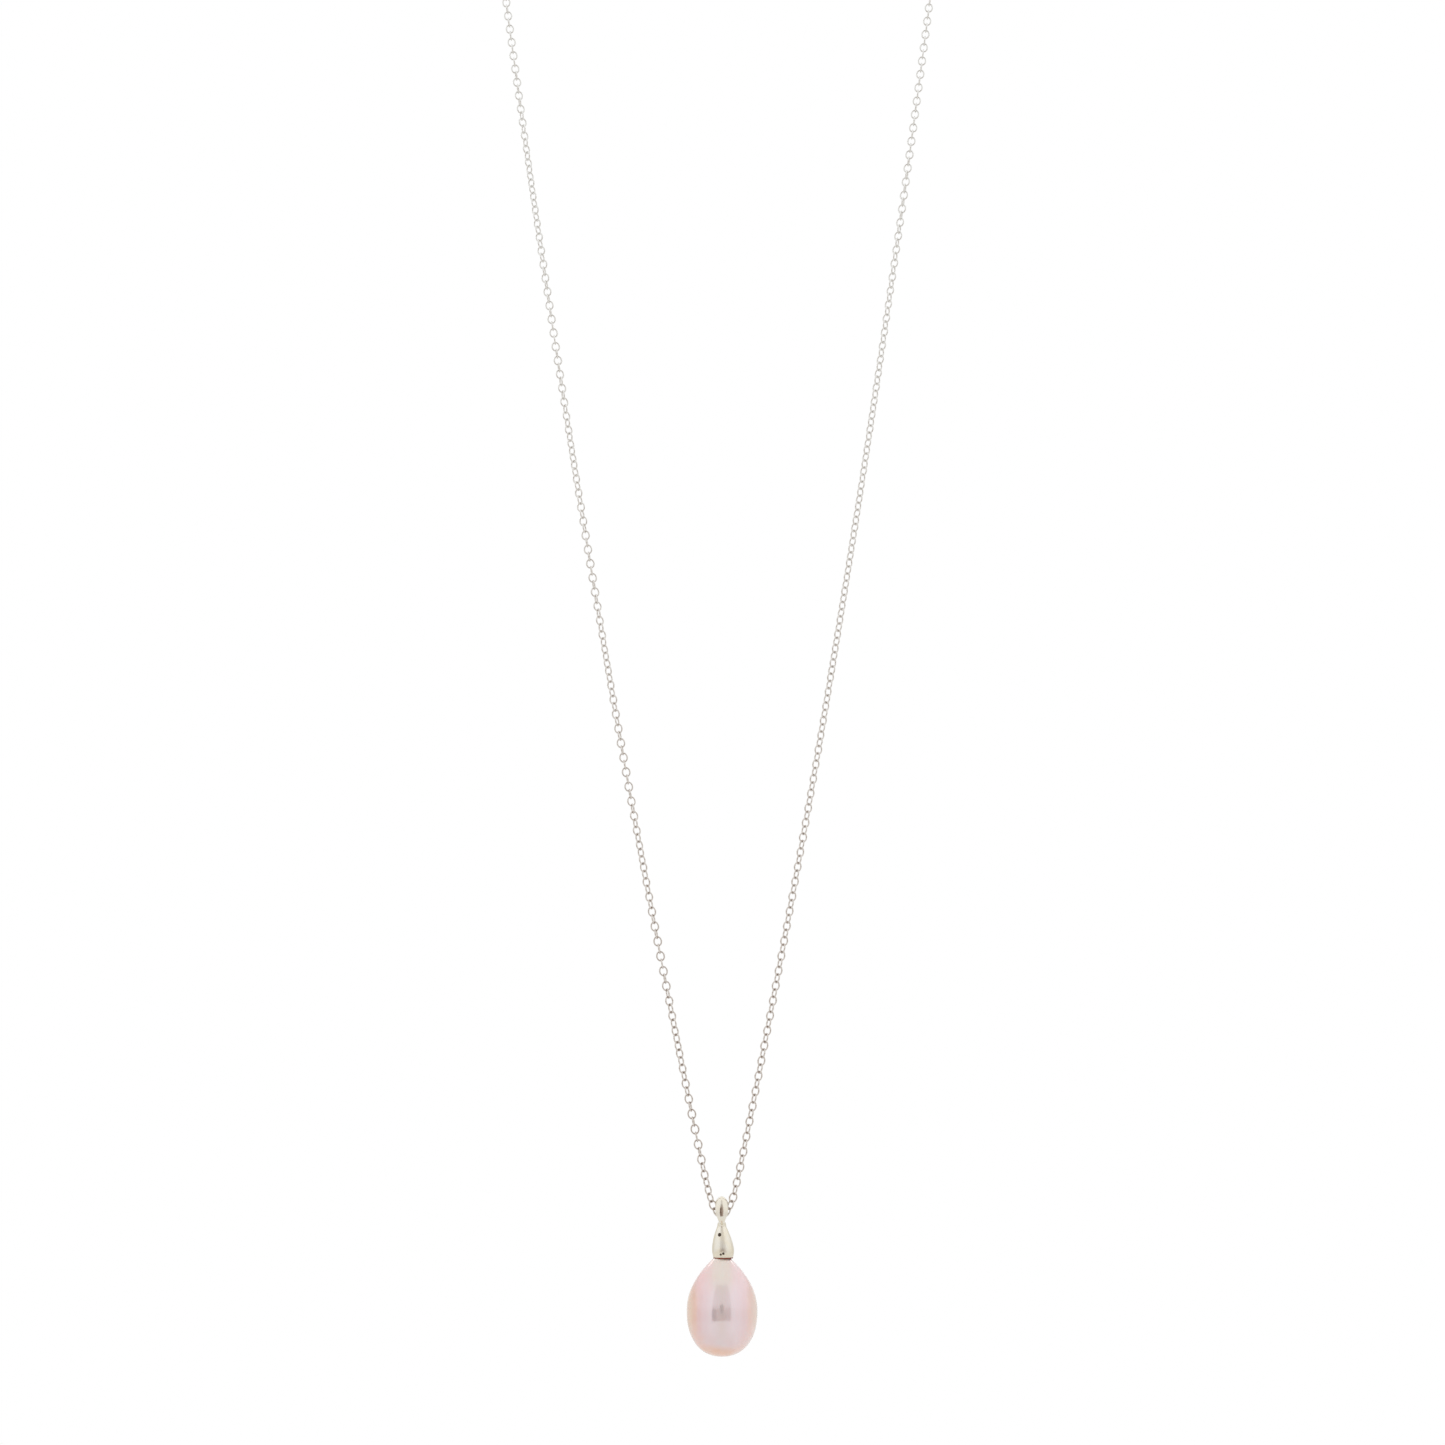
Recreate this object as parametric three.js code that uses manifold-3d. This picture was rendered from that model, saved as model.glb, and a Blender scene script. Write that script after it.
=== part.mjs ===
// A pearl pendant necklace, hanging at rest from a round arm about 59 mm across.
// Millimetres, +Z up. The front faces -Y and the chain's loop lies in the XZ plane.
// The origin is the top of the arm, where the middle of the necklace hangs.
import * as THREE from 'three';
import { ParametricGeometry } from 'three/addons/geometries/ParametricGeometry.js';
import { mergeVertices } from 'three/addons/utils/BufferGeometryUtils.js';
import Module from 'manifold-3d';

const wasm = await Module();
wasm.setup();

// ---- driving dimensions ----

// Chain: round wire bent into oval links
const WIRE_RADIUS = 0.09;
const LINK_LENGTH = 1.26;
const LINK_WIDTH = 1.05;
const LINK_PITCH = 0.885;
const LINKS_EACH_SIDE_OF_BAIL = 4;
const TUBE_END_GAP = 0.08;
const TUBE_STEPS = 39;
const TUBE_SIDES = 8;

// Half of the chain's route, x and z, from its lowest point in the bail up to the ring at its end:
// a tight bend through the bail, a long catenary, and a wrap over the arm.
const SADDLE_Z = -208.5;
const HALF_ROUTE = [
  [0, SADDLE_Z], [0.44, -208.4], [0.72, -207.93], [1.08, -207.1],
  [1.4, -206.15], [1.6, -205.3], [2.07, -203.28], [3.98, -194.17],
  [7.64, -175.67], [11.18, -156.76], [14.55, -137.44], [17.82, -117.7],
  [20.97, -97.52], [24.04, -76.88], [26.8, -57.0], [28.75, -42.0],
  [29.97, -33.6], [30.22, -29.69], [28.4, -19.35], [23.15, -10.27],
  [17.0, -4.71], [11.3, -1.66], [6.17, 0.52],
];

// Pendant, measured from the swing axis at the chain's lowest point
const BAIL_HOLE_RADIUS = 0.75;
const BAIL_HOLE_Z = 0.13;
const BAIL_OUTER = { top: 2.15, side: 1.45, bottom: 1.2 };
const BAIL_LOOP_POWER = { top: 4.5, bottom: 2 };
const BAIL_HALF_WIDTH = { top: 0.73, bottom: 0.34 };
const BAIL_TAPER = { narrow: -0.85, wide: 0.4 };
const CAP_OUTLINE = [
  [0.37, -0.82], [0.5, -1.1], [0.77, -1.75], [1.01, -2.45],
  [1.19, -3.2], [1.26, -3.9], [1.13, -4.62],
];
const CAP_TOP_Z = -0.78;
const CAP_WALL_AT_RIM = 0.07;
const SEAT_RADIUS = 0.7;
const CEMENT_BED = 0.2;
const PEARL_RADIUS = 4.03;
const PEARL_WIDEST_Z = -10.58;
const PEARL_UPPER_HEIGHT = 6.7;
const PEARL_LOWER_HEIGHT = 5.07;
const PEARL_UPPER_POWER = 2.1;
const PEARL_LOWER_POWER = 2.25;
const PEG_RADIUS = 0.4;
const PEG_TOP_Z = -3.3;
const PEG_BOTTOM_Z = -9.9;
const DRILL_RADIUS = 0.57;
const DRILL_BOTTOM_Z = -10.3;
const FIT_GAP = 0.02;
const SMALLEST_EDGE = 0.004;

// Clasp, at the middle of the necklace's top
const CLASP_Z = 1.3;
const CLASP_THICKNESS = 1.3;
const CLASP_BEVEL = 0.18;
const SLOT_THICKNESS = 0.8;
const LEVER_THICKNESS = 0.7;
const EYE = { x: -2.8, outer: 0.85, hole: 0.45, thickness: 0.8 };
const MOUTH = { x: 1.75, y: -0.15, halfLength: 1.55, halfWidth: 1.1 };
const GATE_GAP = { x0: 0, x1: 2.42, y0: -2.4, y1: -0.4 };
const SLOT = { x0: -2.1, x1: 0.4, y0: -2.4, y1: 0.5 };
const PIVOT = { x: -0.9, y: -0.6, pin: 0.25, hole: 0.28 };
const SPRING = { x0: -2.02, x1: -1.53, y: -0.15, radius: 0.22, wire: 0.05, turns: 4 };
const RING = { x: 4.24, radius: 1.4, wire: 0.2 };

// ---- materials ----

const metal = (color, roughness) => new THREE.MeshStandardMaterial({ color, roughness, metalness: 1 });
const whiteGold = () => metal(0xe6e0d4, 0.12);
const chainGold = () => metal(0xe2dcd6, 0.18);
const springSteel = () => metal(0xb9bcc0, 0.3);
const nacre = () => new THREE.MeshStandardMaterial({ color: 0xe9c9c6, roughness: 0.22, metalness: 0 });
const epoxy = () => new THREE.MeshStandardMaterial({ color: 0x8a5240, roughness: 0.5, metalness: 0 });

// ---- geometry helpers ----

function welded(geometry) {
  const plain = geometry.clone();
  plain.deleteAttribute('normal');
  plain.deleteAttribute('uv');
  return mergeVertices(plain, 1e-5);
}

function toSolid(geometry) {
  const closed = welded(geometry);
  return new wasm.Manifold(new wasm.Mesh({
    numProp: 3,
    vertProperties: new Float32Array(closed.attributes.position.array),
    triVerts: new Uint32Array(closed.index.array),
  }));
}

function toGeometry(solid) {
  const mesh = solid.simplify(SMALLEST_EDGE).getMesh();
  const geometry = new THREE.BufferGeometry();
  geometry.setAttribute('position', new THREE.BufferAttribute(mesh.vertProperties, 3));
  geometry.setIndex(new THREE.BufferAttribute(mesh.triVerts, 1));
  geometry.computeVertexNormals();
  return geometry;
}

function named(name, geometry, material) {
  const mesh = new THREE.Mesh(geometry, material);
  mesh.name = name;
  return mesh;
}

// A profile of [radius, z] points, listed upwards on its outer side, turned round the Z axis
function turned(profile, segments) {
  const points = profile.map(([radius, z]) => new THREE.Vector2(radius, z));
  return new THREE.LatheGeometry(points, segments).rotateX(Math.PI / 2);
}

// A ring of round wire in the XY plane, bent round an ellipse
function wireRing(halfLength, halfWidth, wireRadius, around, sides) {
  const point = (u, v, target) => {
    const turn = 2 * Math.PI * u;
    const roll = 2 * Math.PI * v;
    const outX = Math.cos(turn) / halfLength;
    const outY = Math.sin(turn) / halfWidth;
    const size = Math.hypot(outX, outY);
    const reach = wireRadius * Math.cos(roll);
    target.set(
      halfLength * Math.cos(turn) + (reach * outX) / size,
      halfWidth * Math.sin(turn) + (reach * outY) / size,
      wireRadius * Math.sin(roll),
    );
  };
  return welded(new ParametricGeometry(point, around, sides));
}

function slab(outline, thickness, bevel = 0) {
  const geometry = new THREE.ExtrudeGeometry(outline, {
    depth: thickness - 2 * bevel,
    bevelEnabled: bevel > 0,
    bevelThickness: bevel,
    bevelSize: bevel,
    bevelOffset: -bevel,
    bevelSegments: 2,
    curveSegments: 10,
  });
  return geometry.translate(0, 0, bevel - thickness / 2);
}

function block({ x0, x1, y0, y1 }, thickness) {
  const box = new THREE.BoxGeometry(x1 - x0, y1 - y0, thickness);
  return box.translate((x0 + x1) / 2, (y0 + y1) / 2, 0);
}

function rod(radius, length, segments) {
  return new THREE.CylinderGeometry(radius, radius, length, segments).rotateX(Math.PI / 2);
}

// ---- chain ----

const rightHalf = HALF_ROUTE.map(([x, z]) => new THREE.Vector3(x, 0, z));
const leftHalf = HALF_ROUTE.slice(1).reverse().map(([x, z]) => new THREE.Vector3(-x, 0, z));
const route = new THREE.CatmullRomCurve3([...leftHalf, ...rightHalf]);
route.arcLengthDivisions = 4000;
const halfLength = route.getLength() / 2;

// The route's point at a distance from the saddle, + to the right and - to the left
function alongRoute(distance) {
  return route.getPointAt((halfLength + distance) / (2 * halfLength));
}

class Stretch extends THREE.Curve {
  constructor(from, to) {
    super();
    this.from = from;
    this.to = to;
  }
  getPoint(t, target = new THREE.Vector3()) {
    return target.copy(alongRoute(this.from + (this.to - this.from) * t));
  }
}

// A link between two joints of the chain. Links lie flat to the front or edge-on to it by turns.
function link(name, from, to, facesFront) {
  const halfLong = LINK_LENGTH / 2 - WIRE_RADIUS;
  const halfWide = LINK_WIDTH / 2 - WIRE_RADIUS;
  const geometry = wireRing(halfLong, halfWide, WIRE_RADIUS, 20, 6);
  const mesh = named(name, geometry, chainGold());
  const along = to.clone().sub(from).normalize();
  const front = new THREE.Vector3(0, -1, 0);
  const across = front.clone().cross(along);
  const axes = facesFront ? [along, across, front] : [along, front, across.negate()];
  mesh.setRotationFromMatrix(new THREE.Matrix4().makeBasis(...axes));
  mesh.position.copy(from).add(to).multiplyScalar(0.5);
  return mesh;
}

function linkAt(name, index, facesFront) {
  const from = alongRoute((index - 0.5) * LINK_PITCH);
  const to = alongRoute((index + 0.5) * LINK_PITCH);
  return link(name, from, to, facesFront);
}

function chainTube(name, from, to) {
  const section = new THREE.Shape();
  for (let i = 0; i < TUBE_SIDES; i += 1) {
    const angle = (2 * Math.PI * i) / TUBE_SIDES;
    const corner = [(LINK_WIDTH / 2) * Math.cos(angle), (LINK_WIDTH / 2) * Math.sin(angle)];
    if (i === 0) section.moveTo(...corner);
    else section.lineTo(...corner);
  }
  const geometry = new THREE.ExtrudeGeometry(section, {
    steps: TUBE_STEPS,
    extrudePath: new Stretch(from, to),
    bevelEnabled: false,
  });
  return named(name, geometry, chainGold());
}

function chain() {
  const group = new THREE.Group();
  const linkOverhang = (LINK_LENGTH - LINK_PITCH) / 2;
  const tubeStart = (LINKS_EACH_SIDE_OF_BAIL + 0.5) * LINK_PITCH + linkOverhang + TUBE_END_GAP;
  const tubeEnd = halfLength - LINK_PITCH - linkOverhang - TUBE_END_GAP;
  for (const [side, sign] of [['left', -1], ['right', 1]]) {
    for (let i = 1; i <= LINKS_EACH_SIDE_OF_BAIL; i += 1) {
      group.add(linkAt(`bail_link_${side}_${i}`, sign * i, i % 2 === 1));
    }
    group.add(chainTube(`chain_${side}`, sign * tubeStart, sign * tubeEnd));
    const end = alongRoute(sign * halfLength);
    const inner = alongRoute(sign * (halfLength - LINK_PITCH));
    const beyond = end.clone().multiplyScalar(2).sub(inner);
    group.add(link(`chain_link_${side}_2`, inner, end, true));
    group.add(link(`chain_link_${side}_1`, end, beyond, false));
  }
  return group;
}

// ---- pendant ----

// The band that the chain runs through: a ring round the X axis, thickest and widest at its top
function bailBand() {
  const point = (u, v, target) => {
    const turn = 2 * Math.PI * u;
    const roll = 2 * Math.PI * v;
    const up = Math.cos(turn);
    const half = up > 0 ? 'top' : 'bottom';
    const power = BAIL_LOOP_POWER[half];
    const rise = Math.abs(up / BAIL_OUTER[half]) ** power;
    const depth = Math.abs(Math.sin(turn) / BAIL_OUTER.side) ** power;
    const outer = (rise + depth) ** (-1 / power);
    const middle = (outer + BAIL_HOLE_RADIUS) / 2;
    const halfThickness = (outer - BAIL_HOLE_RADIUS) / 2;
    const { top, bottom } = BAIL_HALF_WIDTH;
    const widening = THREE.MathUtils.smoothstep(up, BAIL_TAPER.narrow, BAIL_TAPER.wide);
    const halfWidth = bottom + (top - bottom) * widening;
    const reach = middle + halfThickness * Math.cos(roll);
    target.set(-halfWidth * Math.sin(roll), reach * Math.sin(turn), BAIL_HOLE_Z + reach * up);
  };
  return welded(new ParametricGeometry(point, 32, 12));
}

function pearlSurfaceZ(radius) {
  const share = (1 - radius / PEARL_RADIUS) ** (1 / PEARL_UPPER_POWER);
  return PEARL_WIDEST_Z + PEARL_UPPER_HEIGHT * share;
}

function bailCap() {
  const outside = new THREE.SplineCurve(CAP_OUTLINE.map(([r, z]) => new THREE.Vector2(r, z)));
  const rim = CAP_OUTLINE.at(-1);
  const lip = rim[0] - CAP_WALL_AT_RIM;
  const seat = (radius) => [radius, pearlSurfaceZ(radius) + CEMENT_BED];
  const socket = PEG_RADIUS + FIT_GAP;
  const profile = [
    [0, PEG_TOP_Z + FIT_GAP], [socket, PEG_TOP_Z + FIT_GAP],
    seat(socket), seat(SEAT_RADIUS), seat(lip), [lip, rim[1]],
    ...outside.getPoints(14).reverse().map((p) => [p.x, p.y]), [0, CAP_TOP_Z],
  ];
  const cup = toSolid(turned(profile, 28));
  return named('bail_cap', toGeometry(cup.add(toSolid(bailBand()))), whiteGold());
}

function pearl() {
  const outline = [];
  const bottom = 10;
  for (let i = 0; i <= bottom; i += 1) {
    const angle = (Math.PI / 2) * (1 - i / bottom);
    const down = Math.sin(angle);
    const radius = (1 - down ** PEARL_LOWER_POWER) ** (1 / PEARL_LOWER_POWER);
    outline.push([PEARL_RADIUS * radius, PEARL_WIDEST_Z - PEARL_LOWER_HEIGHT * down]);
  }
  const top = 10;
  for (let i = 1; i <= top; i += 1) {
    const radius = PEARL_RADIUS - (PEARL_RADIUS - DRILL_RADIUS) * (i / top) ** 1.6;
    outline.push([radius, pearlSurfaceZ(radius)]);
  }
  outline.push([DRILL_RADIUS, DRILL_BOTTOM_Z], [0, DRILL_BOTTOM_Z]);
  return named('pearl', turned(outline, 40), nacre());
}

function pearlPeg() {
  const peg = rod(PEG_RADIUS, PEG_TOP_Z - PEG_BOTTOM_Z, 16);
  return named('pearl_peg', peg.translate(0, 0, (PEG_TOP_Z + PEG_BOTTOM_Z) / 2), whiteGold());
}

// Epoxy: a sleeve round the peg in the drilled hole, and a bead between the pearl and the cup
function pearlCement() {
  const inside = PEG_RADIUS + FIT_GAP;
  const outside = DRILL_RADIUS - FIT_GAP;
  const edge = CAP_OUTLINE.at(-1)[0] - CAP_WALL_AT_RIM - FIT_GAP;
  const onPearl = (radius) => [radius, pearlSurfaceZ(radius) + FIT_GAP];
  const underCap = (radius) => [radius, pearlSurfaceZ(radius) + CEMENT_BED - FIT_GAP];
  const profile = [
    [0, DRILL_BOTTOM_Z + FIT_GAP], [outside, DRILL_BOTTOM_Z + FIT_GAP],
    onPearl(outside), onPearl(edge), underCap(edge), underCap(SEAT_RADIUS), underCap(inside),
    [inside, PEG_BOTTOM_Z - FIT_GAP], [0, PEG_BOTTOM_Z - FIT_GAP],
  ];
  return named('pearl_cement', turned(profile, 20), epoxy());
}

function pendant() {
  const group = new THREE.Group();
  group.position.z = SADDLE_Z;
  group.add(bailCap(), pearl(), pearlPeg(), pearlCement());
  return group;
}

// ---- clasp ----

function claspOutline() {
  const shape = new THREE.Shape();
  shape.moveTo(-2.5, -0.55);
  shape.bezierCurveTo(-1.8, -1.2, -1.2, -1.75, -0.2, -1.85);
  shape.bezierCurveTo(1.6, -2.0, 3.9, -1.5, 4.0, 0);
  shape.bezierCurveTo(3.9, 1.5, 1.6, 1.9, -0.2, 1.6);
  shape.bezierCurveTo(-1.2, 1.4, -1.8, 1.0, -2.5, 0.55);
  return shape;
}

function claspBody() {
  const mouth = new THREE.CylinderGeometry(1, 1, 2 * CLASP_THICKNESS, 32).rotateX(Math.PI / 2);
  mouth.scale(MOUTH.halfLength, MOUTH.halfWidth, 1).translate(MOUTH.x, MOUTH.y, 0);
  const eye = rod(EYE.outer, EYE.thickness, 24).translate(EYE.x, 0, 0);
  const eyeHole = rod(EYE.hole, 2 * CLASP_THICKNESS, 20).translate(EYE.x, 0, 0);
  const pinHole = rod(PIVOT.hole, 2 * CLASP_THICKNESS, 16).translate(PIVOT.x, PIVOT.y, 0);
  const body = toSolid(slab(claspOutline(), CLASP_THICKNESS, CLASP_BEVEL))
    .add(toSolid(eye))
    .subtract(toSolid(eyeHole))
    .subtract(toSolid(mouth))
    .subtract(toSolid(block(GATE_GAP, 2 * CLASP_THICKNESS)))
    .subtract(toSolid(block(SLOT, SLOT_THICKNESS)))
    .subtract(toSolid(pinHole));
  return named('clasp_body', toGeometry(body), whiteGold());
}

// The gate that closes the mouth, with its thumb tab and, behind the pivot, the spring's heel
function claspLever() {
  const shape = new THREE.Shape();
  shape.moveTo(-1.45, 0.1);
  shape.lineTo(-1.45, -0.85);
  shape.quadraticCurveTo(-1.4, -1.35, -0.85, -1.6);
  shape.bezierCurveTo(-0.8, -2.1, -0.85, -2.5, -0.6, -2.6);
  shape.bezierCurveTo(-0.35, -2.65, -0.1, -2.3, 0.1, -1.82);
  shape.bezierCurveTo(0.9, -1.9, 1.7, -1.78, 2.26, -1.58);
  shape.lineTo(2.34, -1.12);
  shape.bezierCurveTo(1.6, -1.3, 0.8, -1.25, 0.2, -0.8);
  shape.bezierCurveTo(-0.1, -0.5, -0.4, -0.1, -0.9, 0.1);
  const pinHole = rod(PIVOT.hole, 2 * CLASP_THICKNESS, 16).translate(PIVOT.x, PIVOT.y, 0);
  const lever = toSolid(slab(shape, LEVER_THICKNESS, 0.08)).subtract(toSolid(pinHole));
  const geometry = toGeometry(lever).translate(-PIVOT.x, -PIVOT.y, 0);
  const mesh = named('clasp_lever', geometry, whiteGold());
  mesh.position.set(PIVOT.x, PIVOT.y, 0);
  return mesh;
}

function claspPin() {
  const mesh = named('clasp_pin', rod(PIVOT.pin, CLASP_THICKNESS, 16), whiteGold());
  mesh.position.set(PIVOT.x, PIVOT.y, 0);
  return mesh;
}

class Helix extends THREE.Curve {
  getPoint(t, target = new THREE.Vector3()) {
    const angle = 2 * Math.PI * SPRING.turns * t;
    const x = SPRING.x0 + (SPRING.x1 - SPRING.x0) * t;
    return target.set(x, SPRING.y + SPRING.radius * Math.cos(angle), SPRING.radius * Math.sin(angle));
  }
}

function claspSpring() {
  const section = new THREE.Shape().absarc(0, 0, SPRING.wire, 0, 2 * Math.PI, false);
  const geometry = new THREE.ExtrudeGeometry(section, {
    steps: 10 * SPRING.turns,
    curveSegments: 3,
    extrudePath: new Helix(),
    bevelEnabled: false,
  });
  return named('clasp_spring', geometry, springSteel());
}

function closedRing(name, x) {
  const geometry = wireRing(RING.radius, RING.radius, RING.wire, 32, 10).rotateX(Math.PI / 2);
  const mesh = named(name, geometry, whiteGold());
  mesh.position.x = x;
  return mesh;
}

function clasp() {
  const group = new THREE.Group();
  group.position.z = CLASP_Z;
  group.add(claspBody(), claspLever(), claspPin(), claspSpring());
  group.add(closedRing('clasp_jump_ring', -RING.x), closedRing('end_ring', RING.x));
  return group;
}

// ---- necklace ----

const necklace = new THREE.Group();
necklace.add(linkAt('saddle_link', 0, false), chain(), pendant(), clasp());

export default necklace;
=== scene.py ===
"""The looks of the pearl pendant necklace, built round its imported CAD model.

Shapes are worked out in millimetres and written to the scene in metres. The front faces -Y,
+Z is up, and the origin is the top of the arm that the necklace hangs over.
"""
import math

import bpy
import numpy as np
from mathutils import Matrix


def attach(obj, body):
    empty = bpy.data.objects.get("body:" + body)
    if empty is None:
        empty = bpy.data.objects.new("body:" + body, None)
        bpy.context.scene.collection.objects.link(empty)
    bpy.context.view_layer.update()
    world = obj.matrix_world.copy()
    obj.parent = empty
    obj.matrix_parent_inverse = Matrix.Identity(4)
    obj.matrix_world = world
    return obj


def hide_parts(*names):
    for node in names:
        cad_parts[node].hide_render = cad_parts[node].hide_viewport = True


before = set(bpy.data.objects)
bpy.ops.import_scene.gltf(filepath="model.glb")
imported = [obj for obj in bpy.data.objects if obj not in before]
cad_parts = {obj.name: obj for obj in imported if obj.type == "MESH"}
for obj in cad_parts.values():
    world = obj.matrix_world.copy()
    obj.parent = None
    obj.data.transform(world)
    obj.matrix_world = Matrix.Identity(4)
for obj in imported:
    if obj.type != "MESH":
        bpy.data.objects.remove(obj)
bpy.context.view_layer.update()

MM = 0.001
rng = np.random.default_rng(11)

# ---- dimensions, in millimetres, as in the CAD model ----

WIRE_RADIUS = 0.09
LINK_LENGTH = 1.26
LINK_WIDTH = 1.05
LINKS_PER_SIDE = 252
SADDLE_Z = -208.5
HALF_ROUTE = [
    (0, SADDLE_Z), (0.44, -208.4), (0.72, -207.93), (1.08, -207.1),
    (1.4, -206.15), (1.6, -205.3), (2.07, -203.28), (3.98, -194.17),
    (7.64, -175.67), (11.18, -156.76), (14.55, -137.44), (17.82, -117.7),
    (20.97, -97.52), (24.04, -76.88), (26.8, -57.0), (28.75, -42.0),
    (29.97, -33.6), (30.22, -29.69), (28.4, -19.35), (23.15, -10.27),
    (17.0, -4.71), (11.3, -1.66), (6.17, 0.52),
]

BAIL_HOLE_RADIUS = 0.75
BAIL_HOLE_Z = 0.13
BAIL_OUTER = {"top": 2.15, "side": 1.45, "bottom": 1.2}
BAIL_LOOP_POWER = {"top": 4.5, "bottom": 2}
BAIL_HALF_WIDTH = {"top": 0.73, "bottom": 0.34}
BAIL_TAPER = {"narrow": -0.85, "wide": 0.4}
CAP_OUTLINE = [
    (0.37, -0.82), (0.5, -1.1), (0.77, -1.75), (1.01, -2.45),
    (1.19, -3.2), (1.26, -3.9), (1.13, -4.62),
]
CAP_TOP_Z = -0.78
CEMENT_BED = 0.2
PEARL_RADIUS = 4.03
PEARL_WIDEST_Z = -10.58
PEARL_UPPER_HEIGHT = 6.7
PEARL_LOWER_HEIGHT = 5.07
PEARL_UPPER_POWER = 2.1
PEARL_LOWER_POWER = 2.25
PEG_RADIUS = 0.4
PEG_TOP_Z = -3.3
PEG_BOTTOM_Z = -9.9
DRILL_RADIUS = 0.57
DRILL_BOTTOM_Z = -10.3
FIT_GAP = 0.02

# Small irregularities, not in the CAD model: the band's section comes to a soft ridge, the cup's
# rim sits a little to the right, there are three small pits, as (place, radius), in the cup's
# front, the dark cement swells out beyond its edge in a bead that is also painted shadow in the
# gap under the cup, and the pearl's skin is uneven
BAIL_RIDGE_POWER = 1.52
RIDGE_ROUNDING = 0.06
CUP_LEAN = 0.15
PITS = [
    ((-0.27, -0.87, -2.03), 0.21),
    ((-0.14, -1.22, -4.26), 0.12),
    ((0.17, -1.26, -4.14), 0.13),
]
CEMENT_EDGE_RADIUS = 1.04
CEMENT_BEAD_RADIUS = 1.14
SKIN_SWELLING = 0.006

CLASP_Z = 1.3
CLASP_HALF_THICKNESS = 0.65
SLOT_HALF_THICKNESS = 0.4
LEVER_HALF_THICKNESS = 0.35
EYE = {"x": -2.8, "outer": 0.85, "hole": 0.45, "half_thickness": 0.4}
MOUTH = {"x": 1.75, "y": -0.15, "half_length": 1.55, "half_width": 1.1}
GATE_GAP = {"x": (0, 2.42), "y": (-2.4, -0.4)}
SLOT = {"x": (-2.1, 0.4), "y": (-2.4, 0.5)}
PIVOT = {"x": -0.9, "y": -0.6, "pin": 0.25, "hole": 0.28}
SPRING = {"x": (-2.02, -1.53), "y": -0.15, "radius": 0.22, "wire": 0.05, "turns": 4}
RING = {"x": 4.24, "radius": 1.4, "wire": 0.2}

FLOOR_Z = -262
FLOOR_RADIUS = 190

# How unevenly the links are turned, in degrees
LINK_TWIST_JITTER = 2.2


# ---- camera ----

def make_camera():
    """A short way in front of the pendant and a little above the pearl, tilted up."""
    data = bpy.data.cameras.new("photo_camera")
    data.sensor_width = 36
    data.lens = 60.68
    data.clip_start = 0.01
    data.clip_end = 20
    camera = bpy.data.objects.new("photo_camera", data)
    tilt = Matrix.Rotation(math.radians(99.339), 3, "X")
    roll = Matrix.Rotation(math.radians(-0.185), 3, "Z")
    camera.rotation_euler = (tilt @ roll).to_euler()
    camera.location = (0.00027, -0.28505, -0.19795)
    bpy.context.scene.collection.objects.link(camera)
    bpy.context.scene.camera = camera


# ---- mesh helpers ----

def smoothstep(value, low, high):
    """Goes smoothly from 0 to 1 as value goes from low to high."""
    t = np.clip((value - low) / (high - low), 0, 1)
    return t * t * (3 - 2 * t)


def new_piece(name, points, faces, body, replaced, material):
    """A smooth-shaded mesh object, from points in mm, riding on a body."""
    mesh = bpy.data.meshes.new(name)
    mesh.from_pydata((np.asarray(points) * MM).tolist(), [], [list(map(int, f)) for f in faces])
    mesh.validate()
    mesh.shade_smooth()
    mesh.materials.append(material)
    piece = bpy.data.objects.new(name, mesh)
    bpy.context.scene.collection.objects.link(piece)
    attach(piece, body)
    if replaced:
        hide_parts(*replaced)
    return piece


def sharpen(piece, degrees):
    """Keeps edges sharper than this angle crisp under smooth shading."""
    piece.data.set_sharp_from_angle(angle=math.radians(degrees))


def grid_faces(rows, columns, wrap_rows, wrap_columns):
    """Quads of a rows x columns grid of points, joined end to end where it wraps."""
    faces = []
    for i in range(rows if wrap_rows else rows - 1):
        for j in range(columns if wrap_columns else columns - 1):
            row, below = i * columns, (i + 1) % rows * columns
            beside = (j + 1) % columns
            faces.append((row + j, below + j, below + beside, row + beside))
    return faces


def turned(profile, segments):
    """A closed solid: a profile of (radius, z), up its outer side, turned round the Z axis.

    The profile begins and ends on the axis."""
    inner = np.array(profile[1:-1], float)
    angles = 2 * np.pi * np.arange(segments) / segments
    rings = np.stack([
        inner[:, :1] * np.cos(angles),
        inner[:, :1] * np.sin(angles),
        np.repeat(inner[:, 1:], segments, axis=1),
    ], axis=-1).reshape(-1, 3)
    points = np.vstack([rings, [(0, 0, profile[0][1]), (0, 0, profile[-1][1])]])
    faces = [f[::-1] for f in grid_faces(len(inner), segments, False, True)]
    start, end = len(rings), len(rings) + 1
    last = (len(inner) - 1) * segments
    for j in range(segments):
        beside = (j + 1) % segments
        faces.append((start, beside, j))
        faces.append((end, last + j, last + beside))
    return points, faces


def tube(path, radius, sides):
    """A round wire with flat ends along a path of points."""
    path = np.asarray(path, float)
    tangent = np.gradient(path, axis=0)
    tangent /= np.linalg.norm(tangent, axis=1, keepdims=True)
    across = np.cross(tangent[0], (0.31, 0.87, 0.38))
    angles = 2 * np.pi * np.arange(sides) / sides
    rings = []
    for point, along in zip(path, tangent):
        across = across - along * across.dot(along)
        across /= np.linalg.norm(across)
        other = np.cross(along, across)
        circle = np.outer(np.cos(angles), across) + np.outer(np.sin(angles), other)
        rings.append(point + radius * circle)
    faces = [f[::-1] for f in grid_faces(len(path), sides, False, True)]
    faces.append(tuple(range(sides))[::-1])
    faces.append(tuple(range((len(path) - 1) * sides, len(path) * sides)))
    return np.vstack(rings), faces


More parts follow.
